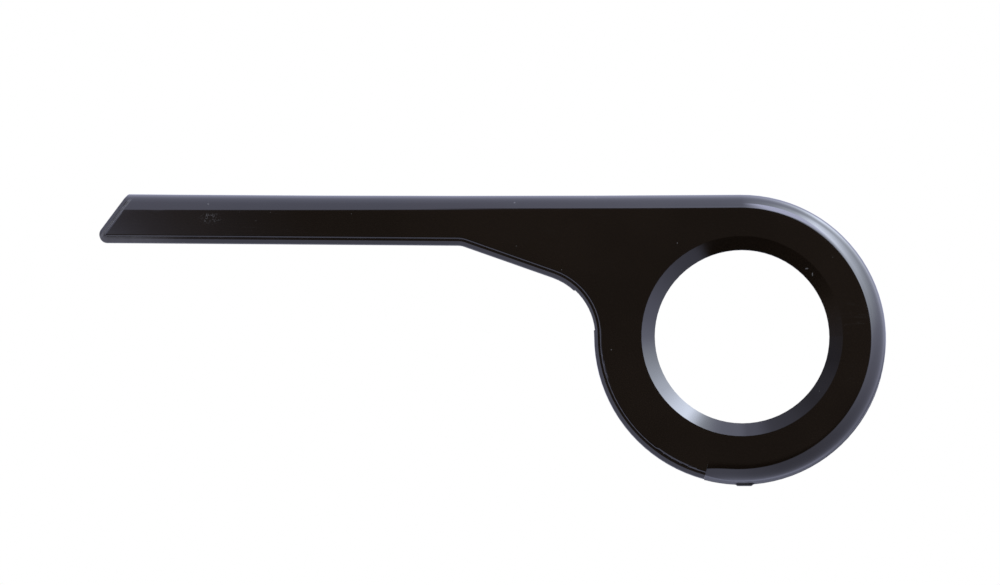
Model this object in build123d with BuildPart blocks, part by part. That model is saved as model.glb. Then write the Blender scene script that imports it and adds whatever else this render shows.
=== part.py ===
"""Bicycle chain guard, moulded in one piece of gloss black plastic.

A shallow shell that is open at the back. A ring surrounds the chainring, and a long arm covers
the upper run of the chain. The front face is flat and turns over a wide round into a deep rim
along the arm's top, round the front of the ring and under it. The rim stops where the lower run
of the chain leaves. The rest of the edge steps back to a narrow lip with a short return.

Frame: the origin is on the crank axis, in the plane of the back edge, where the fixing bracket
sits. +X points forward, +Y inboard, towards the bicycle, and +Z up. The front face looks to -Y.
"""

import os
from math import asin, atan2, cos, degrees, radians, sin, sqrt, tan

from build123d import *

# Shell
WALL = 2.4  # wall of the moulding
DEPTH = 30.0  # back edge to front face

# Rim
RIM_RADIUS = 95.1  # outside of the ring at the back edge
RIM_DRAFT = 1.2  # lean of the rim's wall, in degrees
RIM_ROUND = 12.0  # round between front face and rim
RIM_END = 255.0  # where the rim stops under the ring, in degrees from +X
RUN_OUT = 270.0  # from here to the end the round runs straight on and out of the wall
TOP_DIP = 0.45  # fall of the top edge where it leaves the ring, in degrees
TOP_BOW = 23000.0  # radius of the slight hollow along the arm's top
TOP_RUN_X = -370.0  # the top is straight behind this

# Crank opening
OPENING_RADIUS = 66.0  # at the front face
OPENING_BACK_RADIUS = 57.2  # at the back of the shallow cone
OPENING_DEPTH = 5.3  # of the cone, with its land
OPENING_LAND = 2.2  # short straight stretch at the back of the cone
OPENING_EDGE_ROUND = 0.6  # where the face turns into the cone

# Outline of the front face along its lower edge
FACE_RADIUS = 93.25  # lower left of the ring
ELBOW_RADIUS = 44.7  # hollow between ring and slope
SLOPE = 19.5  # fall of the edge between arm and ring, in degrees
BEND_X = -183.5  # where the arm's lower edge starts to fall
BEND_Z = 64.1
BEND_ROUND = 16.0
TIP_X = -419.5  # lower rear corner of the arm
TIP_Z = 65.9
TIP_ROUND = 1.6
SLANT = 53.6  # rear end of the arm, in degrees
FACE_EDGE_ROUND = 1.3

# Lip along the lower edge and the rear end
LIP_REACH = 3.7  # beyond the face
LIP_STEP = 1.6  # behind the face
LIP_LEDGE = 1.4  # beside the face, before the lip slopes away
LIP_SLOPE = 38.0  # in degrees
LIP_RETURN = 6.0  # depth of the lip's outer edge
LIP_LAP = 1.3  # behind the face, within the round of its corner
LIP_EDGE_ROUND = 0.9
RELIEF_DEPTH = 0.7  # lip is narrower in the elbow
RELIEF_START = 5.0  # in degrees round the elbow's centre
RELIEF_END = 47.0

# Fixing bosses
BOSS_RADIUS = 4.2
BOSS_INSET = 5.6  # boss axis from the outside of the back edge
BOSS_ANGLE = 30.0  # first of the bosses on the ring, in degrees
BOSS_COUNT = 3
FREE_BOSS_ANGLE = 150.0  # the one that stands clear of the rim
STAY_BOSS_X = -384.5  # rear boss, for the clip on the chain stay
PILOT_RADIUS = 1.6  # for a 4 mm self-tapping screw
PILOT_DEPTH = 14.0
GUSSET_REACH = 7.0  # ribs that steady the free-standing boss
GUSSET_HEIGHT = 18.0
GUSSET_WALL = 1.6
GUSSET_TURNS = (-90.0, 0.0, 90.0)  # none on the chain's side

# Pad under the lowest boss, on the outside of the rim
PAD_WIDTH = 15.0
PAD_OFFSET = 1.9  # forward of the boss
PAD_PROUD = 0.8
PAD_DEPTH = 7.0
PAD_SLOPE = 3.0

# Overlap of sections that join, and how near an edge lies to the line it follows
LAP = 3.0
RUN_LAP = 7.2  # of the rim's stretches that are built apart, under the face
LAP_TURN = 2.0  # the same, in degrees
NEAR = 0.01

# Planes, angles and lines that the sections share
back_plane = Plane.XZ
face_plane = Plane.XZ.offset(DEPTH)
crank_axis = Axis((0, 0, 0), (0, -1, 0))
top_angle = 90 + TOP_DIP
ring_turn = 360 + top_angle - RUN_OUT
bow_x = (RIM_RADIUS + TOP_BOW) * cos(radians(top_angle))
bow_z = (RIM_RADIUS + TOP_BOW) * sin(radians(top_angle))
bow_axis = Axis((bow_x, 0, bow_z), (0, -1, 0))
bow_turn = TOP_DIP + degrees(asin((bow_x - TOP_RUN_X) / TOP_BOW))
run_length = TOP_RUN_X - TIP_X
rim_lean = DEPTH * tan(radians(RIM_DRAFT))
flat_start = rim_lean + RIM_ROUND * tan(radians(90 - RIM_DRAFT) / 2)


def top_height(x, inset):
    """Height of the arm's top edge at x, moved inward by the inset."""
    return bow_z - sqrt((TOP_BOW + inset) ** 2 - (x - bow_x) ** 2)


def ring_plane(angle):
    """Plane across the rim at an angle on the ring: x points inward and y to the front."""
    out = Vector(cos(radians(angle)), 0, sin(radians(angle)))
    return Plane(origin=out * RIM_RADIUS, x_dir=-out, z_dir=(-out.Z, 0, out.X))


def top_plane(x):
    """The same plane across the arm's top."""
    edge = Vector(x, 0, top_height(x, 0))
    out = (Vector(bow_x, 0, bow_z) - edge) * (1 / TOP_BOW)
    return Plane(origin=edge, x_dir=-out, z_dir=(-out.Z, 0, out.X))


# Lower edge of the face: rear end, arm, slope, elbow and ring
slope_way = Vector(cos(radians(SLOPE)), -sin(radians(SLOPE)))
slope_out = Vector(-sin(radians(SLOPE)), -cos(radians(SLOPE)))
bend = Vector(BEND_X, BEND_Z)
elbow_base = bend + slope_out * ELBOW_RADIUS
elbow_reach = FACE_RADIUS + ELBOW_RADIUS
elbow_side = elbow_base.dot(slope_way)
slope_length = -elbow_side - sqrt(elbow_reach**2 - elbow_base.length**2 + elbow_side**2)
slope_end = bend + slope_way * slope_length
elbow_centre = elbow_base + slope_way * slope_length
elbow_end = elbow_centre * (FACE_RADIUS / elbow_reach)
elbow_angle = degrees(atan2(elbow_end.Y, elbow_end.X)) % 360

with BuildLine(face_plane) as flat_line:
    flat_ring = CenterArc((0, 0), RIM_RADIUS - flat_start, RUN_OUT, ring_turn)
    flat_top = JernArc(flat_ring @ 1, flat_ring % 1, TOP_BOW + flat_start, -bow_turn)
    flat_run = PolarLine(flat_top @ 1, run_length, direction=flat_top % 1)

# On the ring the face's plate ends within the rim's section, which laps it
with BuildLine(face_plane) as plate_line:
    plate_ring = CenterArc(
        (0, 0),
        RIM_RADIUS - flat_start - LAP,
        RIM_END,
        RUN_OUT - RIM_END + ring_turn,
    )

with BuildLine(face_plane) as lower_edge:
    slant = PolarLine((TIP_X, TIP_Z), flat_run, SLANT, mode=Mode.PRIVATE)
    arm = FilletPolyline(
        slant @ 1,
        (TIP_X, TIP_Z),
        (BEND_X, BEND_Z),
        (slope_end.X, slope_end.Y),
        radius=(TIP_ROUND, BEND_ROUND),
    )
    TangentArc(arm @ 1, (elbow_end.X, elbow_end.Y), tangent=arm % 1)
    lower_ring = CenterArc((0, 0), FACE_RADIUS, elbow_angle, RIM_END - elbow_angle)

lip_way = arm % 0
lip_plane = Plane(origin=arm @ 0, x_dir=(lip_way.Z, 0, -lip_way.X), z_dir=lip_way)
slant_plane = Plane(origin=arm @ 0, x_dir=(0, 1, 0), z_dir=lip_plane.x_dir)


# Sections across the rim
def lean(height):
    """How far the rim's wall has leaned in at a height above the back edge."""
    return height * tan(radians(RIM_DRAFT))


def rim_profile(plane):
    """The rim's wall and round, as thick as the moulding."""
    under = DEPTH - WALL
    reach = flat_start + 1.5 * LAP
    with BuildSketch(plane, mode=Mode.PRIVATE) as profile:
        with BuildLine():
            FilletPolyline(
                (0, 0),
                (lean(DEPTH), DEPTH),
                (reach, DEPTH),
                (reach, under),
                (WALL + lean(under), under),
                (WALL, 0),
                radius=(0, RIM_ROUND, 0, 0, RIM_ROUND - WALL, 0),
                close=True,
            )
        make_face()
    return profile.sketch


def filled_profile(plane, set_in, top_in, corner):
    """All that lies under the rim, set in from its wall and its face, with a round at the corner."""
    top = DEPTH - top_in
    reach = flat_start + RUN_LAP
    with BuildSketch(plane, mode=Mode.PRIVATE) as profile:
        with BuildLine():
            FilletPolyline(
                (set_in, 0),
                (set_in + lean(top), top),
                (reach, top),
                (reach, 0),
                radius=(0, corner, 0, 0),
                close=True,
            )
        make_face()
    return profile.sketch


# The rim's last stretch, where the wall keeps to the ring and the round runs straight on
with BuildPart() as run_out_room:
    revolve(
        filled_profile(ring_plane(RIM_END - LAP_TURN), WALL, WALL, 0),
        crank_axis,
        RUN_OUT - RIM_END + LAP_TURN,
    )
    extrude(
        filled_profile(ring_plane(RUN_OUT), WALL, WALL, RIM_ROUND - WALL),
        amount=-RIM_RADIUS,
        mode=Mode.INTERSECT,
    )

with BuildPart() as run_out:
    revolve(filled_profile(ring_plane(RIM_END), 0, 0, 0), crank_axis, RUN_OUT - RIM_END)
    extrude(filled_profile(ring_plane(RUN_OUT), 0, 0, RIM_ROUND), amount=-RIM_RADIUS, mode=Mode.INTERSECT)
    add(run_out_room.part, mode=Mode.SUBTRACT)

# The lip's section: a ledge, a slope and a return
lip_fall = (LIP_REACH - LIP_LEDGE) * tan(radians(LIP_SLOPE))
lip_back = LIP_STEP + LIP_RETURN
lip_inside = LIP_REACH - WALL
lip_under = LIP_STEP + (lip_inside - LIP_LEDGE) * tan(radians(LIP_SLOPE)) + WALL / cos(radians(LIP_SLOPE))
with BuildSketch(lip_plane) as lip_section:
    with BuildLine():
        FilletPolyline(
            (-LIP_LAP, LIP_STEP),
            (LIP_LEDGE, LIP_STEP),
            (LIP_REACH, LIP_STEP + lip_fall),
            (LIP_REACH, lip_back),
            (lip_inside, lip_back),
            (lip_inside, lip_under),
            (LIP_LEDGE - WALL * tan(radians(LIP_SLOPE) / 2), LIP_STEP + WALL),
            (-LIP_LAP, LIP_STEP + WALL),
            radius=(0, 0, LIP_EDGE_ROUND, 0, 0, 0, 0, 0),
            close=True,
        )
    make_face()

# The rim's rear end: the lip runs straight on under the round, and the rim's outside goes on above it
end_under = LIP_STEP + lip_fall + WALL / 2
with BuildPart() as rim_end:
    extrude(filled_profile(top_plane(TOP_RUN_X), 0, 0, RIM_ROUND), amount=run_length)
    with BuildSketch(lip_plane):
        with BuildLine():
            FilletPolyline(
                (-LIP_LAP, LIP_STEP),
                (LIP_LEDGE, LIP_STEP),
                (LIP_REACH, LIP_STEP + lip_fall),
                (LIP_REACH, 2 * DEPTH),
                (-LIP_LAP, 2 * DEPTH),
                radius=(0, 0, LIP_EDGE_ROUND, 0, 0),
                close=True,
            )
        make_face()
    extrude(amount=DEPTH, both=True, mode=Mode.INTERSECT)
    extrude(
        filled_profile(top_plane(TOP_RUN_X), WALL, end_under, RIM_ROUND - end_under),
        amount=run_length,
        mode=Mode.SUBTRACT,
    )
    end_face = rim_end.faces().sort_by(Axis(arm @ 0, lip_plane.x_dir))[-1]
    end_edges = end_face.edges().filter_by_position(Axis.Y, -DEPTH, -NEAR).sort_by(Axis.Z)[-2:]
    fillet(end_edges, LIP_EDGE_ROUND)

# Bosses against the rim, kept within its wall
boss_circle = RIM_RADIUS - BOSS_INSET
stay_boss_z = top_height(STAY_BOSS_X, BOSS_INSET)
with BuildPart() as boss_posts:
    with BuildSketch(back_plane):
        with PolarLocations(boss_circle, BOSS_COUNT, BOSS_ANGLE):
            Circle(BOSS_RADIUS)
        with Locations((STAY_BOSS_X, stay_boss_z)):
            Circle(BOSS_RADIUS)
    extrude(amount=DEPTH)

post_set_in = WALL / 2
post_round = RIM_ROUND - post_set_in
with BuildPart() as rim_bosses:
    revolve(
        filled_profile(ring_plane(RIM_END), post_set_in, post_set_in, post_round),
        crank_axis,
        RUN_OUT - RIM_END + ring_turn,
    )
    extrude(filled_profile(top_plane(TOP_RUN_X), post_set_in, post_set_in, post_round), amount=run_length)
    add(boss_posts.part, mode=Mode.INTERSECT)

# Section of the crank opening: face, cone and land
cone_lean = degrees(atan2(OPENING_RADIUS - OPENING_BACK_RADIUS, OPENING_DEPTH - OPENING_LAND))
land_y = OPENING_DEPTH - OPENING_LAND - DEPTH
with BuildSketch(Plane.XY) as opening_section:
    with BuildLine():
        FilletPolyline(
            (OPENING_RADIUS + 2 * LAP, -DEPTH),
            (OPENING_RADIUS, -DEPTH),
            (OPENING_BACK_RADIUS, land_y),
            (OPENING_BACK_RADIUS, land_y + OPENING_LAND),
            (OPENING_BACK_RADIUS + WALL, land_y + OPENING_LAND),
            (OPENING_BACK_RADIUS + WALL, land_y + WALL * tan(radians(cone_lean) / 2)),
            (OPENING_RADIUS + WALL * tan(radians(90 - cone_lean) / 2), WALL - DEPTH),
            (OPENING_RADIUS + 2 * LAP, WALL - DEPTH),
            radius=(0, OPENING_EDGE_ROUND, 0, 0, 0, 0, 0, 0),
            close=True,
        )
    make_face()

with BuildPart() as chain_guard:
    # Front face and the arm's top, cut on the slant, with the edge rounded
    with BuildSketch(face_plane):
        with BuildLine():
            add(lower_edge.line)
            Line(lower_ring @ 1, plate_ring @ 0)
            add(plate_ring)
            Line(plate_ring @ 1, flat_top @ 0)
            add(flat_top)
            Line(flat_top @ 1, slant @ 1)
        make_face()
        Circle(OPENING_RADIUS + LAP, mode=Mode.SUBTRACT)
    extrude(amount=-WALL)
    revolve(rim_profile(ring_plane(top_angle)), bow_axis, -bow_turn)
    extrude(rim_profile(top_plane(TOP_RUN_X)), amount=run_length)
    split(bisect_by=slant_plane, keep=Keep.BOTTOM)
    face_edges = chain_guard.faces().sort_by(Axis.Y)[0].outer_wire().edges()
    cut_edges = face_edges.filter_by(lambda edge: lower_edge.line.distance_to(edge @ 0.5) < NEAR)
    fillet(cut_edges, FACE_EDGE_ROUND)

    # Rim round the ring
    revolve(rim_profile(ring_plane(RUN_OUT)), crank_axis, ring_turn)
    add(run_out.part)

    # Crank opening
    revolve(opening_section.sketch, crank_axis)

    # Lip
    sweep(lip_section.sketch, path=lower_edge.line)
    add(rim_end.part)
    with BuildSketch(face_plane):
        with BuildLine():
            relief = CenterArc(
                (elbow_centre.X, elbow_centre.Y),
                ELBOW_RADIUS - LIP_REACH + RELIEF_DEPTH,
                RELIEF_START,
                RELIEF_END - RELIEF_START,
            )
            Polyline(relief @ 1, (elbow_centre.X, elbow_centre.Y), relief @ 0)
        make_face()
    extrude(amount=-DEPTH, mode=Mode.SUBTRACT)

    # Bosses against the rim
    add(rim_bosses.part)

    # Free-standing boss and its ribs
    free_way = Vector(cos(radians(FREE_BOSS_ANGLE)), 0, sin(radians(FREE_BOSS_ANGLE)))
    with BuildSketch(back_plane):
        with Locations((free_way.X * boss_circle, free_way.Z * boss_circle)):
            Circle(BOSS_RADIUS)
    extrude(amount=DEPTH - WALL / 2)
    for turn in GUSSET_TURNS:
        rib_angle = radians(FREE_BOSS_ANGLE + turn)
        rib_way = Vector(cos(rib_angle), 0, sin(rib_angle))
        rib_foot = free_way * boss_circle + Vector(0, WALL / 2 - DEPTH, 0)
        with BuildSketch(Plane(origin=rib_foot, x_dir=rib_way, z_dir=rib_way.cross(Vector(0, 1, 0)))):
            with BuildLine():
                Polyline(
                    (0, 0),
                    (BOSS_RADIUS + GUSSET_REACH, 0),
                    (BOSS_RADIUS + GUSSET_REACH, WALL),
                    (BOSS_RADIUS, GUSSET_HEIGHT),
                    (0, GUSSET_HEIGHT),
                    close=True,
                )
            make_face()
        extrude(amount=GUSSET_WALL / 2, both=True)

    # Pilot holes
    with BuildSketch(back_plane):
        with PolarLocations(boss_circle, BOSS_COUNT, BOSS_ANGLE):
            Circle(PILOT_RADIUS)
        with Locations((STAY_BOSS_X, stay_boss_z)):
            Circle(PILOT_RADIUS)
    extrude(amount=PILOT_DEPTH, mode=Mode.SUBTRACT)

    # Pad
    with BuildSketch(back_plane):
        with BuildLine():
            Polyline(
                (PAD_OFFSET - PAD_WIDTH / 2, WALL / 2 - RIM_RADIUS),
                (PAD_OFFSET - PAD_WIDTH / 2 + PAD_SLOPE, -RIM_RADIUS - PAD_PROUD),
                (PAD_OFFSET + PAD_WIDTH / 2 - PAD_SLOPE, -RIM_RADIUS - PAD_PROUD),
                (PAD_OFFSET + PAD_WIDTH / 2, WALL / 2 - RIM_RADIUS),
                close=True,
            )
        make_face()
    extrude(amount=PAD_DEPTH)

os.makedirs("parts", exist_ok=True)
chain_guard.part.label = "chain_guard"
export_step(chain_guard.part, "parts/chain_guard.step")
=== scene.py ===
# %% [markdown]
# # A bicycle chain guard in gloss black plastic
# The guard is one moulding: a ring that closes round the chainring and a long arm over the chain.
# The solid model gives its shape, so this lesson is about the finish and the light. Gloss black
# shows almost nothing of its own colour. What we see of it is the room that it reflects.

# %% Load the moulding
import math

import bpy
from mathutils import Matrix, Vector


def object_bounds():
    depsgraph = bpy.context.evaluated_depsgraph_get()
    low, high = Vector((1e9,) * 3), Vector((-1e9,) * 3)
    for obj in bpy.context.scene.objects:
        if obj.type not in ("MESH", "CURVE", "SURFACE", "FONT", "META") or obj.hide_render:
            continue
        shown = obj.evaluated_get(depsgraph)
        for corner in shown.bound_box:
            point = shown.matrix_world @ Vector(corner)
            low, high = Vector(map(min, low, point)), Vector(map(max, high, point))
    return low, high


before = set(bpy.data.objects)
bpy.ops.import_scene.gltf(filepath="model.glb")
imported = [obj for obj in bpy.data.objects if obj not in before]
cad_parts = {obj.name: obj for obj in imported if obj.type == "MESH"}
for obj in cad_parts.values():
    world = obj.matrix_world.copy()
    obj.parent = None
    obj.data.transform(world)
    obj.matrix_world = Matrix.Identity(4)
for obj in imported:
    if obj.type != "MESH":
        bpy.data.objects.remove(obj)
cad_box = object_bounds()
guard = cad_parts["chain_guard"]
moulding_size = [round(length, 3) for length in cad_box[1] - cad_box[0]]
print("moulding:", len(guard.data.polygons), "faces,", moulding_size, "m")

# %% [markdown]
# ## Node helpers
# A finish is a small tree of nodes. A few helpers keep the trees short to read. Most take numbers
# or the outputs of other nodes, and give back the output of the node that they add.

# %% Helpers that add nodes
NUMBER_SUMS = ("DOT_PRODUCT", "LENGTH", "DISTANCE")


def empty_tree(holder):
    """The node tree of a material or a world, with nothing in it yet."""
    holder.use_nodes = True
    holder.node_tree.nodes.clear()
    return holder.node_tree


def add_node(tree, kind, settings=(), inputs=()):
    """Add a node of a kind, with its settings, and with a value or a link for each input."""
    node = tree.nodes.new(kind)
    for name, value in dict(settings).items():
        setattr(node, name, value)
    for name, value in dict(inputs).items():
        if isinstance(value, bpy.types.NodeSocket):
            tree.links.new(value, node.inputs[name])
        else:
            node.inputs[name].default_value = value
    return node


def maths(tree, operation, *values):
    """A sum on one, two or three numbers."""
    node = add_node(tree, "ShaderNodeMath", {"operation": operation}, enumerate(values))
    return node.outputs["Value"]


def vector(tree, operation, *values):
    """A sum on vectors. Some of these sums give a number."""
    node = add_node(tree, "ShaderNodeVectorMath", {"operation": operation}, enumerate(values))
    return node.outputs["Value" if operation in NUMBER_SUMS else "Vector"]


def axes(tree, value):
    """The X, Y and Z of a vector."""
    return add_node(tree, "ShaderNodeSeparateXYZ", inputs={"Vector": value}).outputs


# %% [markdown]
# Most of the work is with masks: numbers from 0 to 1 that say how much of something there is at a
# place. They are made with a smooth slide, multiplied where both must hold, and compared where one
# is enough.

# %% Helpers for masks and curves
MIX_SOCKETS = {"FLOAT": (2, 3, 0), "VECTOR": (4, 5, 1), "RGBA": (6, 7, 2)}


def slide(tree, value, start, end):
    """0 up to the start, 1 from the end on, and a smooth way between them."""
    inputs = {"Value": value, "From Min": start, "From Max": end}
    node = add_node(tree, "ShaderNodeMapRange", {"interpolation_type": "SMOOTHSTEP"}, inputs)
    return node.outputs["Result"]


def product(tree, first, *others):
    """All the numbers multiplied."""
    for other in others:
        first = maths(tree, "MULTIPLY", first, other)
    return first


def largest(tree, first, *others):
    """The largest of the numbers."""
    for other in others:
        first = maths(tree, "MAXIMUM", first, other)
    return first


def mixed(tree, kind, amount, first, second):
    """A number, a vector or a colour on the way from the first to the second."""
    first_socket, second_socket, output = MIX_SOCKETS[kind]
    inputs = {0: amount, first_socket: first, second_socket: second}
    return add_node(tree, "ShaderNodeMix", {"data_type": kind}, inputs).outputs[output]


def ramp(tree, value, stops):
    """A curve through stops: pairs of position, from 0 to 1, and level, from 0 to 1."""
    node = add_node(tree, "ShaderNodeValToRGB", inputs={"Fac": value})
    elements = node.color_ramp.elements
    elements.remove(elements[0])
    elements[0].position = stops[0][0]
    elements[0].color = (stops[0][1],) * 3 + (1,)
    for position, level in stops[1:]:
        elements.new(position).color = (level,) * 3 + (1,)
    return node.outputs["Color"]


# %% [markdown]
# ## The true round of the rim
# A gloss surface shows the angle of every triangle. The normals of the mesh are averages over its
# triangles, and where these are uneven, a reflection gets a nick. A finer mesh would mend that, but
# the moulding's own mesh stays as it is. Its section is known, so the shader works the normal out
# from that. It first needs to know how far a point lies beyond the end of the flat face, on the
# ring or on the arm.

# %% Find the place on the section
FACE = -0.030  # y of the front face
ROUND = 0.012  # radius between face and wall
FLAT_RADIUS = 0.08272  # end of the flat face on the ring
ARM_LOW = 0.08201  # end of the flat face on the arm, at its lowest
ARM_LOW_X = -0.18139
ARM_BOW = 23.012  # radius of the slight hollow along the arm

gloss = bpy.data.materials.new("gloss black plastic")
tree = empty_tree(gloss)
place = add_node(tree, "ShaderNodeTexCoord").outputs["Object"]
spot = axes(tree, place)
upper = maths(tree, "GREATER_THAN", spot["Z"], 0.0)
on_arm = product(tree, maths(tree, "LESS_THAN", spot["X"], 0.0), upper)
aside = maths(tree, "SUBTRACT", spot["X"], ARM_LOW_X)
arm_line = maths(tree, "MULTIPLY_ADD", product(tree, aside, aside), 0.5 / ARM_BOW, ARM_LOW)
beyond_arm = maths(tree, "SUBTRACT", spot["Z"], arm_line)
flat_place = vector(tree, "MULTIPLY", place, (1, 0, 1))
beyond_ring = maths(tree, "SUBTRACT", vector(tree, "LENGTH", flat_place), FLAT_RADIUS)
beyond = mixed(tree, "FLOAT", on_arm, beyond_ring, beyond_arm)
outward = mixed(tree, "VECTOR", on_arm, vector(tree, "NORMALIZE", flat_place), (0, 0, 1))
print("place on the section:", len(tree.nodes), "nodes")

# %% [markdown]
# The normal looks straight to the front on the face, along the radius on the round, and nearly
# level on the wall, which leans a little so that the moulding leaves its tool.

# %% Work out the true normal
WALL_LEAN = math.tan(math.radians(1.2))
across = maths(tree, "MAXIMUM", beyond, 0.0)
before_wall = maths(tree, "SUBTRACT", spot["Y"], FACE + ROUND)
forward = maths(tree, "MINIMUM", before_wall, -ROUND * WALL_LEAN)
sideways = add_node(
    tree, "ShaderNodeVectorMath", {"operation": "SCALE"}, {0: outward, "Scale": across}
).outputs["Vector"]
front = add_node(tree, "ShaderNodeCombineXYZ", inputs={"Y": forward}).outputs["Vector"]
section_normal = vector(tree, "NORMALIZE", vector(tree, "ADD", sideways, front))
print("true normal:", len(tree.nodes), "nodes")

# %% [markdown]
# The two normals are blended by how well they agree, so the lip, the crank opening and the inside
# keep the normals of the mesh. Under the ring the rim runs straight on and out of the wall, so the
# trust in the true normal fades out there.

# %% Blend it with the mesh
AGREE = (math.cos(math.radians(16)), math.cos(math.radians(12)))
RIM_START = (-0.003, -0.001)
RUN_OUT = (0.0, -0.03)
mesh_normal = add_node(tree, "ShaderNodeNewGeometry").outputs["Normal"]
agree = slide(tree, vector(tree, "DOT_PRODUCT", mesh_normal, section_normal), *AGREE)
near_rim = slide(tree, beyond, *RIM_START)
lower = maths(tree, "SUBTRACT", 1.0, upper)
run_out = product(tree, slide(tree, spot["X"], *RUN_OUT), lower)
trust = product(tree, agree, near_rim, maths(tree, "SUBTRACT", 1.0, run_out))
skin_normal = mixed(tree, "VECTOR", trust, mesh_normal, section_normal)
print("blended normal:", len(tree.nodes), "nodes")

# %% [markdown]
# ## Where the skin is polished, and where it is not
# Only the outside of the mould is polished. Inside, the tool is left as it was eroded, so the
# plastic there is dull and finely pitted. Two materials on one mesh would do, but they would meet
# in a hard line along the triangles. The depth under the skin tells the two apart instead: it is
# nought outside and the thickness of the wall inside.

# %% Find the inside
SKIN_DEPTH = (0.0009, 0.0015)
TURNED_IN = (-0.5, -0.3)
TURNED_BACK = (0.3, 0.6)
squares = maths(tree, "ADD", product(tree, across, across), product(tree, forward, forward))
depth = maths(tree, "SUBTRACT", ROUND, maths(tree, "SQRT", squares))
normal_y = axes(tree, mesh_normal)["Y"]
within = product(tree, slide(tree, depth, *SKIN_DEPTH), slide(tree, normal_y, *TURNED_IN))
inside = largest(tree, within, slide(tree, normal_y, *TURNED_BACK))
print("inside found:", len(tree.nodes), "nodes")

# %% [markdown]
# The wall of the rim drags along the mould as the part comes out, so it is less polished than the
# face, and its top the least. A small pad under the ring stands proud of the wall, so it gets
# rubbed. These places too are found by where they are, and nothing is painted.

# %% Find the wall, its top and the pad
WALL_START = (FACE + ROUND - 0.001, FACE + ROUND + 0.003)
TOP_START = (0.03, 0.07)
PAD_PROUD = (-0.0002, -0.0005)
PAD_START = (-0.009, -0.0072)
on_wall = slide(tree, spot["Y"], *WALL_START)
on_top = product(tree, on_wall, slide(tree, spot["Z"], *TOP_START))
on_pad = product(tree, slide(tree, depth, *PAD_PROUD), slide(tree, spot["Y"], *PAD_START))
print("wall and pad found:", len(tree.nodes), "nodes")

# %% [markdown]
# ## Marks on the skin
# A used guard carries small marks. Shoes leave hairlines that run along the arm, and dust sits on
# it as specks. Near the rear something rubbed a patch of short curved scuffs. Painting them would
# need a picture file, so each mark is a mask from noise or from a place on the face.


# %% Helpers for marks
def noise(tree, scale, detail=2.0, stretch=(1, 1, 1), distortion=0.0):
    """Noise with this many waves to the metre, stretched by the three numbers."""
    where = vector(tree, "MULTIPLY", place, stretch)
    inputs = {"Vector": where, "Scale": scale, "Detail": detail, "Distortion": distortion}
    return add_node(tree, "ShaderNodeTexNoise", inputs=inputs).outputs["Fac"]


def lines(tree, field, faint, full):
    """Lines where noise crosses its middle. They begin at the faint distance from it."""
    from_middle = maths(tree, "ABSOLUTE", maths(tree, "SUBTRACT", field, 0.5))
    return slide(tree, from_middle, faint, full)


def patch(tree, centre, size, soft):
    """1 in an ellipse round a point of the face, 0 outside. The size is half its two lengths."""
    away = vector(tree, "SUBTRACT", place, (centre[0], 0, centre[1]))
    parts = vector(tree, "MULTIPLY", away, (1 / size[0], 0, 1 / size[1]))
    return slide(tree, vector(tree, "LENGTH", parts), 1.0, 1.0 - soft)


# %% [markdown]
# Hairlines and scuffs are both lines where noise crosses its middle. The noise of the hairlines is
# drawn out along X, and a second noise keeps them to some places. The noise of the scuffs is bent
# by distortion, and one ellipse holds them all.

# %% Draw the hairlines and the scuffs
HAIRLINE_NOISE = {"scale": 260, "detail": 3.0, "stretch": (0.06, 1, 1), "distortion": 0.4}
HAIRLINE_WIDTH = (0.008, 0.0)
HAIRLINE_PATCHES = 18
HAIRLINE_SHARE = (0.52, 0.7)
SCUFF_NOISE = {"scale": 240, "detail": 1.0, "stretch": (1, 1, 0.55), "distortion": 1.6}
SCUFF_WIDTH = (0.024, 0.004)
SCUFF_AT = (-0.3490, 0.0775)
SCUFF_SIZE = (0.0095, 0.0046)
SCUFF_SOFT = 0.5
hairlines = lines(tree, noise(tree, **HAIRLINE_NOISE), *HAIRLINE_WIDTH)
hairlines = product(tree, hairlines, slide(tree, noise(tree, HAIRLINE_PATCHES), *HAIRLINE_SHARE))
scuffs = lines(tree, noise(tree, **SCUFF_NOISE), *SCUFF_WIDTH)
scuffs = product(tree, scuffs, patch(tree, SCUFF_AT, SCUFF_SIZE, SCUFF_SOFT))
print("hairlines and scuffs:", len(tree.nodes), "nodes")

# %% [markdown]
# A Voronoi texture scatters the specks. Each of its cells has a point, and the random colour of the
# cell gives the speck a size. Half of the sizes are below nothing and most points lie too far from
# the skin, so few specks are seen. Four that stand out have places of their own.

# %% Scatter the specks
SPECK_CELLS = 95.0
SPECK_GROWTH = 0.09
SPECK_START = -0.045
SPECK_SOFT = 0.012
PLACED_SOFT = 0.6
PLACED_SPECKS = [
    ((-0.3501, 0.0872), (0.0007, 0.0007)),
    ((-0.1491, 0.0882), (0.0007, 0.0007)),
    ((0.0425, 0.0446), (0.0013, 0.0006)),
    ((0.0462, 0.0408), (0.0005, 0.0016)),
]
cells = add_node(tree, "ShaderNodeTexVoronoi", inputs={"Vector": place, "Scale": SPECK_CELLS})
chosen = axes(tree, cells.outputs["Color"])["X"]
speck_size = maths(tree, "MULTIPLY_ADD", chosen, SPECK_GROWTH, SPECK_START)
past_speck = maths(tree, "SUBTRACT", cells.outputs["Distance"], speck_size)
specks = slide(tree, past_speck, SPECK_SOFT, 0.0)
for centre, size in PLACED_SPECKS:
    specks = largest(tree, specks, patch(tree, centre, size, PLACED_SOFT))
print("specks:", len(PLACED_SPECKS), "placed,", len(tree.nodes), "nodes")
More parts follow.
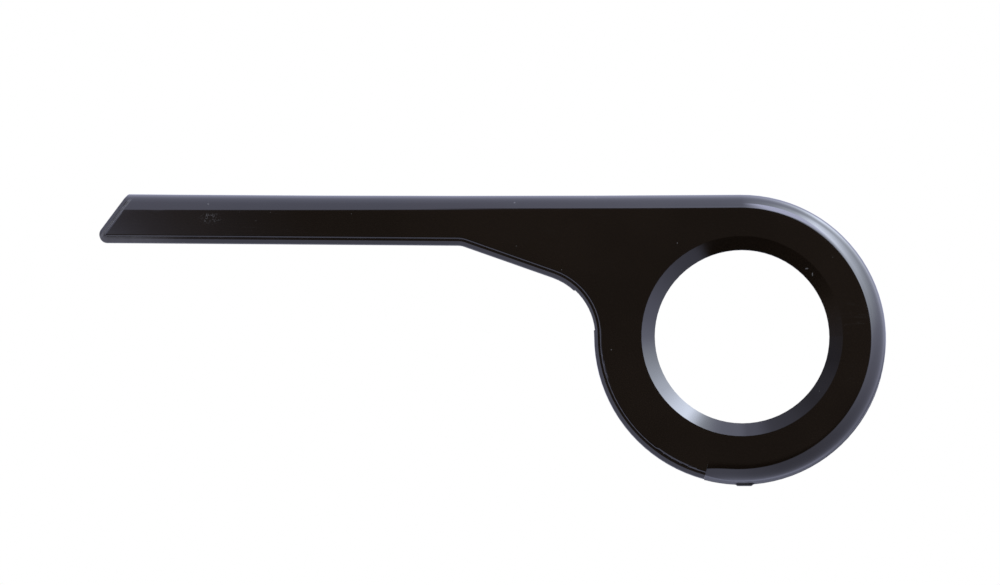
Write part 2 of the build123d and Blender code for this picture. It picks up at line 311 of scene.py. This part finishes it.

# %% [markdown]
# At the rear end light is painted into the colour. A narrow grey band along the step of the slanted
# side is painted light over the dark line in its reflection, and the lip under its corner is
# painted lighter, a painted reflection. Noise makes the painted light uneven.

# %% Paint light on the rear end
END_ACROSS = (0.788, 0, -0.615)
END_STEP = 0.3718
END_WIDTH = (0.0012, 0.0005)
END_FRONT = (-0.025, -0.027)
END_TOP = (0.0925, 0.0885)
LIP_START = (-0.36, -0.40)
LIP_TOP = (0.0668, 0.0658)
LIP_SHARE = 0.5
PAINTED_LIGHT_WAVES = 220
PAINTED_LIGHT_UNEVEN = 0.7
PAINTED_LIGHT_LEAST = 0.4
# Painted light: the step and the rear lip get the dust colour, standing in for reflected light.
along_end = vector(tree, "DOT_PRODUCT", place, END_ACROSS)
from_step = maths(tree, "ABSOLUTE", maths(tree, "ADD", along_end, END_STEP))
at_front = product(tree, slide(tree, spot["Y"], *END_FRONT), slide(tree, spot["Z"], *END_TOP))
step_painted_light = product(tree, slide(tree, from_step, *END_WIDTH), at_front)
lip_painted_light = product(tree, slide(tree, spot["X"], *LIP_START), slide(tree, spot["Z"], *LIP_TOP))
uneven = maths(tree, "MULTIPLY_ADD", noise(tree, PAINTED_LIGHT_WAVES), PAINTED_LIGHT_UNEVEN, PAINTED_LIGHT_LEAST)
painted_light = product(tree, largest(tree, step_painted_light, product(tree, lip_painted_light, LIP_SHARE)), uneven)
print("rear end rubbed:", len(tree.nodes), "nodes")

# %% [markdown]
# Edges that are handled lose their gloss first. The bevel node looks a little way round each point,
# and where the normal that it finds differs from the point's own, there is an edge.

# %% Wear the edges
EDGE_WIDTH = 0.0007
EDGE_SAMPLES = 6
EDGE_TURN = (0.99, 0.86)
WORN_NOISE = {"scale": 90, "detail": 3.0}
WORN_SHARE = (0.42, 0.62)
bevel = add_node(tree, "ShaderNodeBevel", {"samples": EDGE_SAMPLES}, {"Radius": EDGE_WIDTH})
edge = slide(tree, vector(tree, "DOT_PRODUCT", bevel.outputs["Normal"], mesh_normal), *EDGE_TURN)
worn_edge = product(tree, edge, slide(tree, noise(tree, **WORN_NOISE), *WORN_SHARE))
worn = largest(tree, worn_edge, on_pad)
print("edges worn:", len(tree.nodes), "nodes")

# %% [markdown]
# ## Gloss black plastic
# The colour goes right through the plastic, a black with a little brown in it. A plain black would
# look like a hole, so it varies in faint clouds. Marks are lighter than the skin, by the colour of
# dust and of rubbed plastic. The same colour is painted onto the rear end as painted light.

# %% Mix the colour
BLACK = (0.0050, 0.0034, 0.0024, 1)
BROWN_BLACK = (0.0068, 0.0046, 0.0033, 1)
INSIDE_BLACK = (0.0105, 0.0100, 0.0100, 1)
# The dust colour is also the colour of the painted light at the rear end.
DUST_AND_PAINTED_LIGHT = (0.075, 0.074, 0.080, 1)
CLOUD_NOISE = {"scale": 14, "detail": 3.0}
CLOUD_SHARE = (0.35, 0.65)
SCUFF_STRENGTH = 0.5
FAINT_STRENGTH = 0.06
cloud = slide(tree, noise(tree, **CLOUD_NOISE), *CLOUD_SHARE)
colour = mixed(tree, "RGBA", cloud, BLACK, BROWN_BLACK)
colour = mixed(tree, "RGBA", inside, colour, INSIDE_BLACK)
# This mask holds the real specks and scuffs, and also the painted light of the rear end.
marks_and_painted_light = largest(tree, specks, painted_light, product(tree, scuffs, SCUFF_STRENGTH))
faint_marks = product(tree, largest(tree, hairlines, worn), FAINT_STRENGTH)
colour = mixed(tree, "RGBA", largest(tree, marks_and_painted_light, faint_marks), colour, DUST_AND_PAINTED_LIGHT)
print("colour mixed:", len(tree.nodes), "nodes")

# %% [markdown]
# The gloss starts from that of the polished mould. Everything that dulls it adds to the roughness:
# hazy patches, the wall and the inside, the top, and the marks.

# %% Set the gloss
GLOSS = 0.05
HAZE_NOISE = {"scale": 30, "detail": 4.0}
HAZE_SHARE = (0.4, 0.75)
HAZE_DULL = 0.035
WALL_DULL = 0.33
TOP_DULL = 0.3
MARK_DULL = 0.3
HAIRLINE_DULL = 0.05
dulling = [
    (slide(tree, noise(tree, **HAZE_NOISE), *HAZE_SHARE), HAZE_DULL),
    (largest(tree, inside, on_wall), WALL_DULL),
    (on_top, TOP_DULL),
    (largest(tree, marks_and_painted_light, worn), MARK_DULL),
    (hairlines, HAIRLINE_DULL),
]
roughness = GLOSS
for mask, amount in dulling:
    roughness = maths(tree, "MULTIPLY_ADD", mask, amount, roughness)
print("gloss set:", len(tree.nodes), "nodes")

# %% [markdown]
# Plastic shrinks as it sets, so the skin has faint long waves, and it has sunk a little over the
# rear fixing boss, where it is thick. The heights are in metres, so that they can be checked
# against the real thing: waves of eight thousandths of a millimetre, a dent of five hundredths over
# the boss, pits of three hundredths inside. A bump is enough for forms as flat as these.

# %% Give it relief
WAVE_NOISE = {"scale": 85, "detail": 1.0}
WAVE_HEIGHT = 0.000008
PIT_WAVES = 1800
PIT_HEIGHT = 0.00003
SINK_AT = (-0.3845, -0.0285, 0.0868)
SINK_REACH = (0.0075, 0.0015)
SINK_DEPTH = 0.00005
waves = product(tree, noise(tree, **WAVE_NOISE), WAVE_HEIGHT)
pits = product(tree, noise(tree, PIT_WAVES), inside, PIT_HEIGHT)
from_boss = vector(tree, "DISTANCE", place, SINK_AT)
sunk = product(tree, slide(tree, from_boss, *SINK_REACH), -SINK_DEPTH)
height = maths(tree, "ADD", maths(tree, "ADD", waves, pits), sunk)
relief = add_node(
    tree, "ShaderNodeBump", inputs={"Distance": 1.0, "Height": height, "Normal": skin_normal}
)
print("relief given:", len(tree.nodes), "nodes")

# %% [markdown]
# One principled shader takes all of it. Its own mirror layer is what makes the gloss, so no second
# coat is needed.

# %% Finish the moulding
PLASTIC_IOR = 1.52
skin = add_node(
    tree,
    "ShaderNodeBsdfPrincipled",
    inputs={
        "Base Color": colour,
        "Roughness": roughness,
        "IOR": PLASTIC_IOR,
        "Normal": relief.outputs["Normal"],
    },
)
add_node(tree, "ShaderNodeOutputMaterial", inputs={"Surface": skin.outputs["BSDF"]})
guard.data.materials.clear()
guard.data.materials.append(gloss)
print("finish:", gloss.name, len(tree.nodes), "nodes")

# %% [markdown]
# ## The camera
# The guard is seen almost square on, from a little below, through a long lens. One pixel of the
# picture is 0.655 mm on the front face, and the crank axis is right of the middle. A long lens far
# away keeps the rim's back edge as large as the face, as the picture shows it.

# %% Place the camera
PICTURE = (1000, 585)
PIXEL = 0.000655
CRANK_PIXEL = (742.2, 335.9)
LOOK_UP = math.radians(6.8)
DISTANCE = 6.0
SENSOR = 36

back = Vector((0, -math.cos(LOOK_UP), -math.sin(LOOK_UP)))
up = Vector((0, -math.sin(LOOK_UP), math.cos(LOOK_UP)))
aim = Vector((0, FACE, 0))
aim.x += (PICTURE[0] / 2 - CRANK_PIXEL[0]) * PIXEL
aim += up * ((CRANK_PIXEL[1] - PICTURE[1] / 2) * PIXEL)
lens = bpy.data.cameras.new("camera")
lens.sensor_width = SENSOR
lens.lens = SENSOR * DISTANCE / (PICTURE[0] * PIXEL)
camera = bpy.data.objects.new("camera", lens)
camera.location = aim + back * DISTANCE
camera.rotation_euler = (-back).to_track_quat("-Z", "Y").to_euler()
bpy.context.scene.collection.objects.link(camera)
bpy.context.scene.camera = camera
print("camera:", round(lens.lens, 1), "mm lens at", [round(v, 3) for v in camera.location])

# %% [markdown]
# ## The studio
# Gloss black shows the studio, so the studio is what gives the guard its look. It is a pale tent
# with a dark opening where the camera stands: the flat face mirrors the opening and looks black. A
# soft box shines through the tent at the upper right. Cloth and lamps could be built, but a world
# shader can hold all of it as a brightness for each direction, which is quicker to tune.

# %% Helpers for the studio
AHEAD = (0, -1, 0)
BEHIND = (0, 1, 0)
BELOW = (0, 0, -1)


def way_to(right, above):
    """Direction from the guard, in degrees to the right of and above the camera side."""
    turned, tilted = math.radians(right), math.radians(above)
    level_part = math.cos(tilted)
    return (math.sin(turned) * level_part, -math.cos(turned) * level_part, math.sin(tilted))


def scaled_ramp(tree, value, stops):
    """A ramp whose levels may be over 1."""
    strongest = max(level for _, level in stops)
    shares = [(position, level / strongest) for position, level in stops]
    return product(tree, ramp(tree, value, shares), strongest)


def glow(tree, direction, way, stops):
    """Brightness round a way: pairs of the angle from it, in degrees, and the level there."""
    half = maths(tree, "MULTIPLY_ADD", vector(tree, "DOT_PRODUCT", direction, way), 0.5, 0.5)
    halves = [((1 + math.cos(math.radians(angle))) / 2, level) for angle, level in stops]
    return scaled_ramp(tree, half, sorted(halves))


# %% [markdown]
# One curve gives the light all round the line of sight: 0 degrees is to the right, 90 over the top
# and -90 below. What is stronger than the tent belongs to the soft box. It falls off away from the
# line of sight, and three dimmer places give it its outline.

# %% Light the tent and the soft box
ROUND_ABOUT = [
    (-180, 1.4), (-135, 1.25), (-100, 1.2), (-90, 1.1), (-70, 0.8), (-55, 0.78), (-40, 0.92),
    (-25, 1.25), (-10, 1.7), (0, 2.0), (11, 2.5), (25, 4.4), (33, 5.6), (37, 6.6), (41, 7.2),
    (46, 8.7), (51, 10.6), (55, 11.6), (59, 12.8), (64, 9.8), (68, 7), (72, 6), (77, 4.3),
    (81, 3.6), (85.5, 3), (90, 1.8), (105, 1.6), (150, 1.6), (180, 1.4),
]
TENT = 2.0
BOX_REACH = [
    (34, 1.2), (42, 1.38), (48, 1.38), (57, 1.18), (66, 1.03), (90, 0.47), (120, 0.5), (150, 0),
]
BOX_SHADES = [
    (way_to(12, 44), [(0, 0.22), (4, 0.28), (7, 0.45), (10, 0.75), (14, 1)]),
    (way_to(17, 26), [(0, 0.3), (2.5, 0.38), (4, 0.5), (6, 0.72), (9, 1)]),
    (way_to(90, 65), [(0, 0.65), (10, 0.72), (18, 1)]),
]

world = bpy.data.worlds.new("pale tent")
bpy.context.scene.world = world
tree = empty_tree(world)
direction = add_node(tree, "ShaderNodeTexCoord").outputs["Generated"]
heading = axes(tree, direction)
angle_round = maths(tree, "ARCTAN2", heading["Z"], heading["X"])
turn = maths(tree, "MULTIPLY_ADD", angle_round, 0.5 / math.pi, 0.5)
light = scaled_ramp(tree, turn, [((angle + 180) / 360, level) for angle, level in ROUND_ABOUT])
tent = maths(tree, "MINIMUM", light, TENT)
box = maths(tree, "MAXIMUM", maths(tree, "SUBTRACT", light, TENT), 0.0)
box = product(tree, box, glow(tree, direction, AHEAD, BOX_REACH))
for way, stops in BOX_SHADES:
    box = product(tree, box, glow(tree, direction, way, stops))
lit = maths(tree, "ADD", tent, box)
print("tent and soft box:", len(tree.nodes), "nodes")

# %% [markdown]
# The opening is round, with one corner that reaches further to the upper right. At the left a fold
# of the tent lies in shade, which the right side of the crank opening mirrors. Behind the guard is
# the wall: white above, dim about the level of the guard, and pale below.

# %% Darken the opening and put the wall behind
OPENING = (way_to(-15, -7), [(37, 0), (39.5, 1)])
OPENING_CORNER = (way_to(9, 17), [(0, 0), (6, 0), (9, 1)])
SHADY_FOLD = (
    way_to(-40, 20),
    [(0, 0.1), (5, 0.12), (7, 0.19), (15.5, 0.29), (24.5, 0.46), (33, 0.6), (38, 1)],
)
WALL_LEVELS = [(0, 0.8), (60, 0.8), (72, 0.6), (79, 0.25), (92, 0.3), (96, 1), (180, 1)]
WALL_REACH = [(0, 1), (30, 1), (60, 0)]
for way, stops in (OPENING, OPENING_CORNER, SHADY_FOLD):
    lit = product(tree, lit, glow(tree, direction, way, stops))
wall = glow(tree, direction, BELOW, WALL_LEVELS)
behind = glow(tree, direction, BEHIND, WALL_REACH)
room = mixed(tree, "FLOAT", behind, lit, wall)
print("opening and wall:", len(tree.nodes), "nodes")

# %% [markdown]
# The room beyond the opening is not quite dark. A weak glow lies over the camera. A stronger one is
# at the upper left, and the lower right of the crank opening mirrors it.

# %% Leave some light in the dark room
DARK_ROOM = [
    (way_to(0, 20), [(0, 0.12), (25, 0.1), (42, 0.02), (60, 0)]),
    (
        way_to(-33, 28),
        [(0, 0.45), (8, 0.36), (13, 0.26), (22, 0.2), (31, 0.16), (38, 0.06), (45, 0)],
    ),
]
for way, stops in DARK_ROOM:
    room = largest(tree, room, glow(tree, direction, way, stops))
print("dark room:", len(tree.nodes), "nodes")

# %% [markdown]
# ## Plain light and a white background
# Only mirror-like rays need the soft box and the dark opening. Soft light is the same from all
# round, at a strength of 1, so a colour renders as it is written, and what the camera sees past the
# guard is white. In the reflections the dark room is brownish, the tent is a cool white, and the
# soft box is less blue than the tent.

# %% Share the studio out by kind of ray
ROOM_TINT = (1.0, 0.78, 0.66, 1)
TENT_TINT = (0.86, 0.90, 1.22, 1)
BOX_TINT = (0.88, 0.96, 1.14, 1)
TENT_FROM = (0.12, 0.26)
BOX_FROM = (1.4, 5.0)
WHITE = (1, 1, 1, 1)
tint = mixed(tree, "RGBA", slide(tree, room, *TENT_FROM), ROOM_TINT, TENT_TINT)
tint = mixed(tree, "RGBA", slide(tree, room, *BOX_FROM), tint, BOX_TINT)
studio = add_node(tree, "ShaderNodeBackground", inputs={"Color": tint, "Strength": room})
plain = add_node(tree, "ShaderNodeBackground", inputs={"Color": WHITE, "Strength": 1.0})
path = add_node(tree, "ShaderNodeLightPath").outputs
mirrored = largest(tree, path["Is Glossy Ray"], path["Is Transmission Ray"])
shares = {0: mirrored, 1: plain.outputs["Background"], 2: studio.outputs["Background"]}
choose = add_node(tree, "ShaderNodeMixShader", inputs=shares)
add_node(tree, "ShaderNodeOutputWorld", inputs={"Surface": choose.outputs["Shader"]})
print("studio:", len(tree.nodes), "nodes in all")

# %% [markdown]
# ## Three white cards
# Two cards hang near the rear of the arm and one over the ring. They have to be real planes,
# because only something near shows more in one part of the guard than in another. They are for
# reflections only, so they are not seen themselves, and they fade out towards their edges.

# %% Helper for cards
CARD_NEAR = FACE - 0.25
CARD_FAR = FACE - 0.5
CARD_LEVEL = 1.7


def hang_card(name, centre, size, level, shown):
    """A white card across the line of sight. The function gives how much shows at a place."""
    bpy.ops.mesh.primitive_plane_add(size=1, location=centre, rotation=(math.pi / 2, 0, 0))
    card = bpy.context.active_object
    card.name = name
    card.scale = (size[0], size[1], 1)
    white = bpy.data.materials.new(name)
    tree = empty_tree(white)
    amount = shown(tree, add_node(tree, "ShaderNodeNewGeometry").outputs["Position"])
    bright = add_node(tree, "ShaderNodeEmission", inputs={"Color": TENT_TINT, "Strength": level})
    gone = add_node(tree, "ShaderNodeBsdfTransparent")
    inputs = {0: amount, 1: gone.outputs["BSDF"], 2: bright.outputs["Emission"]}
    faded = add_node(tree, "ShaderNodeMixShader", inputs=inputs)
    add_node(tree, "ShaderNodeOutputMaterial", inputs={"Surface": faded.outputs["Shader"]})
    card.data.materials.append(white)
    card.visible_camera = False
    card.visible_diffuse = False
    card.visible_shadow = False
    print(name, size, "m")


# %% [markdown]
# The large card hangs over the arm, and its lower edge slopes down to the rear. The rim mirrors it,
# so the light band along the rim gets wider there.

# %% Hang the large card
LARGE_CARD_AT = (-0.46, CARD_NEAR, 0.36)
LARGE_CARD_SIZE = (0.68, 0.70)
LARGE_CARD_END = (-0.14, -0.22)
REAR_X = -0.411
EDGE_AT_REAR = 0.126
EDGE_SLOPE = 0.26
EDGE_SOFT = 0.014


def large_card_shown(tree, card_place):
    """Full above the sloping edge, with a soft end towards the ring."""
    on_card = axes(tree, card_place)
    from_rear = maths(tree, "SUBTRACT", on_card["X"], REAR_X)
    edge_there = maths(tree, "MULTIPLY_ADD", from_rear, EDGE_SLOPE, EDGE_AT_REAR)
    over_edge = maths(tree, "SUBTRACT", on_card["Z"], edge_there)
    above = slide(tree, over_edge, -EDGE_SOFT, EDGE_SOFT)
    return product(tree, above, slide(tree, on_card["X"], *LARGE_CARD_END))


hang_card("large_card", LARGE_CARD_AT, LARGE_CARD_SIZE, CARD_LEVEL, large_card_shown)

# %% [markdown]
# The small card hangs further out, a little beyond the rear end. The face mirrors its soft edge
# there and takes a sheen that dies away along the arm.

# %% Hang the small card
SMALL_CARD_AT = (-0.50, CARD_FAR, 0.09)
SMALL_CARD_REACH = 0.22
SMALL_CARD_FLATTEN = 1.5
SMALL_CARD_FADE = [
    (0, 1), (0.06, 0.9), (0.085, 0.45), (0.1, 0.27), (0.115, 0.16), (0.14, 0.08), (0.18, 0.035),
    (0.22, 0),
]


def small_card_shown(tree, card_place):
    """Full in the middle, dying away to nothing at its reach."""
    away = vector(tree, "SUBTRACT", card_place, SMALL_CARD_AT)
    far = vector(tree, "LENGTH", vector(tree, "MULTIPLY", away, (1, 0, SMALL_CARD_FLATTEN)))
    stops = [(distance / SMALL_CARD_REACH, level) for distance, level in SMALL_CARD_FADE]
    return ramp(tree, maths(tree, "DIVIDE", far, SMALL_CARD_REACH), stops)


hang_card("small_card", SMALL_CARD_AT, (2 * SMALL_CARD_REACH,) * 2, CARD_LEVEL, small_card_shown)

# %% [markdown]
# The last card is a bright one, over the top of the ring. It draws the narrow highlight that
# follows the inner edge of the rim there. The cone of the crank opening mirrors the same directions
# from lower down, so its rays pass under the card and it stays darker.

# %% Hang the bright card
BRIGHT_CARD_AT = (0.115, CARD_NEAR, 0.355)
BRIGHT_CARD_SIZE = (0.23, 0.31)
BRIGHT_CARD_LEVEL = 9.5
BRIGHT_LEFT = (0.008, 0.065)
BRIGHT_RIGHT = (0.22, 0.15)
BRIGHT_BOTTOM = (0.205, 0.235)
BRIGHT_TOP = (0.50, 0.43)


def bright_card_shown(tree, card_place):
    """Full in the middle, with four soft sides."""
    on_card = axes(tree, card_place)
    sides = [slide(tree, on_card["X"], *side) for side in (BRIGHT_LEFT, BRIGHT_RIGHT)]
    ends = [slide(tree, on_card["Z"], *end) for end in (BRIGHT_BOTTOM, BRIGHT_TOP)]
    return product(tree, *sides, *ends)


hang_card("bright_card", BRIGHT_CARD_AT, BRIGHT_CARD_SIZE, BRIGHT_CARD_LEVEL, bright_card_shown)

# %% [markdown]
# ## The floor
# The guard hangs in the air, as it does on a bicycle, and a pale floor lies well below it. A bare
# plane would show its edge against the white, so this one fades out in a round. Mirror-like rays
# pass it by, because the tent already holds the light that the underside mirrors. The camera looks
# slightly up, so the floor stays out of the picture.

# %% Lay the floor
FLOOR_HEIGHT = -0.9
FLOOR_SIZE = 2.4
FLOOR_FADE = (0.7, 1.0)
FLOOR_COLOUR = (0.88, 0.88, 0.89, 1)
bpy.ops.mesh.primitive_plane_add(size=FLOOR_SIZE, location=(aim.x, 0, FLOOR_HEIGHT))
floor = bpy.context.active_object
floor.name = "floor"
floor.visible_glossy = False
pale = bpy.data.materials.new("pale floor")
tree = empty_tree(pale)
floor_place = add_node(tree, "ShaderNodeTexCoord").outputs["Object"]
fade = slide(tree, vector(tree, "LENGTH", floor_place), *FLOOR_FADE)
chalk = add_node(tree, "ShaderNodeBsdfDiffuse", inputs={"Color": FLOOR_COLOUR})
clear = add_node(tree, "ShaderNodeBsdfTransparent")
shares = {0: fade, 1: chalk.outputs["BSDF"], 2: clear.outputs["BSDF"]}
ground = add_node(tree, "ShaderNodeMixShader", inputs=shares)
add_node(tree, "ShaderNodeOutputMaterial", inputs={"Surface": ground.outputs["Shader"]})
floor.data.materials.append(pale)
print("floor: fades out from", FLOOR_FADE[0], "to", FLOOR_FADE[1], "m, at", FLOOR_HEIGHT, "m")

# %% [markdown]
# ## Finish
# The finish must not change the size.

# %% Finish
scene = bpy.context.scene
scene.view_settings.view_transform = "Standard"
